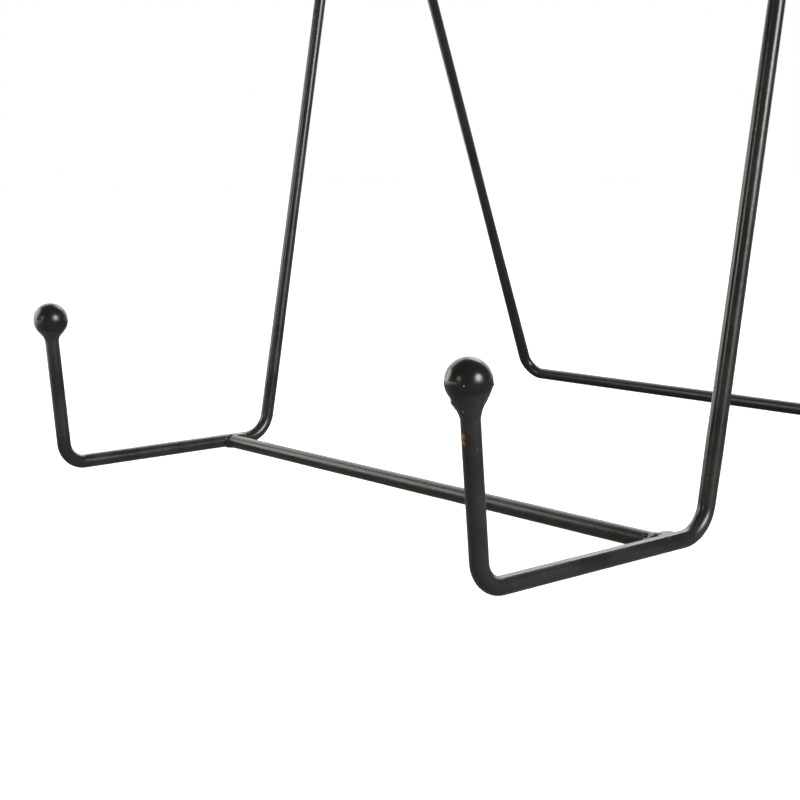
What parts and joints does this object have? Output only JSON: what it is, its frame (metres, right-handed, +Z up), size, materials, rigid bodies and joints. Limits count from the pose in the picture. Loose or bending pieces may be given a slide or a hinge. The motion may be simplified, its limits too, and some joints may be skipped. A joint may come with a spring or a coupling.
{
  "type": "plate display stand",
  "caption": "Folding wire display stand with ball-tipped front prongs, leaning uprights, welded bars and a hinged rear leg, to hold a plate or picture upright.",
  "frame": {"origin": "on the table, at the centre of the stand's bounding box", "axes": "+X across the stand to its right, +Y to the rear, +Z up"},
  "size_m": [0.3618, 0.3262, 0.3096],
  "materials": {
    "rod_paint": "satin",
    "leg_paint": "satin",
    "ball_paint": "satin",
    "weld_paint": "satin"
  },
  "bodies": {
    "front_frame": {"left_side_rod": "rod_paint", "left_ball_tip": "ball_paint", "left_ball_weld": "weld_paint", "left_lower_bar_weld": "weld_paint", "left_upper_bar_weld": "weld_paint", "right_side_rod": "rod_paint", "right_ball_tip": "ball_paint", "right_ball_weld": "weld_paint", "right_lower_bar_weld": "weld_paint", "right_upper_bar_weld": "weld_paint", "lower_cross_bar": "rod_paint", "upper_cross_bar": "rod_paint"},
    "rear_leg": {"rear_leg": "leg_paint"}
  },
  "joints": [
    {"name": "leg_fold", "type": "hinge", "parent": "front_frame", "child": "rear_leg", "pos_m": [0, 0.00014, 0.30148], "axis": [1, 0, 0], "range_deg": [-38.6, 0]}
  ]
}
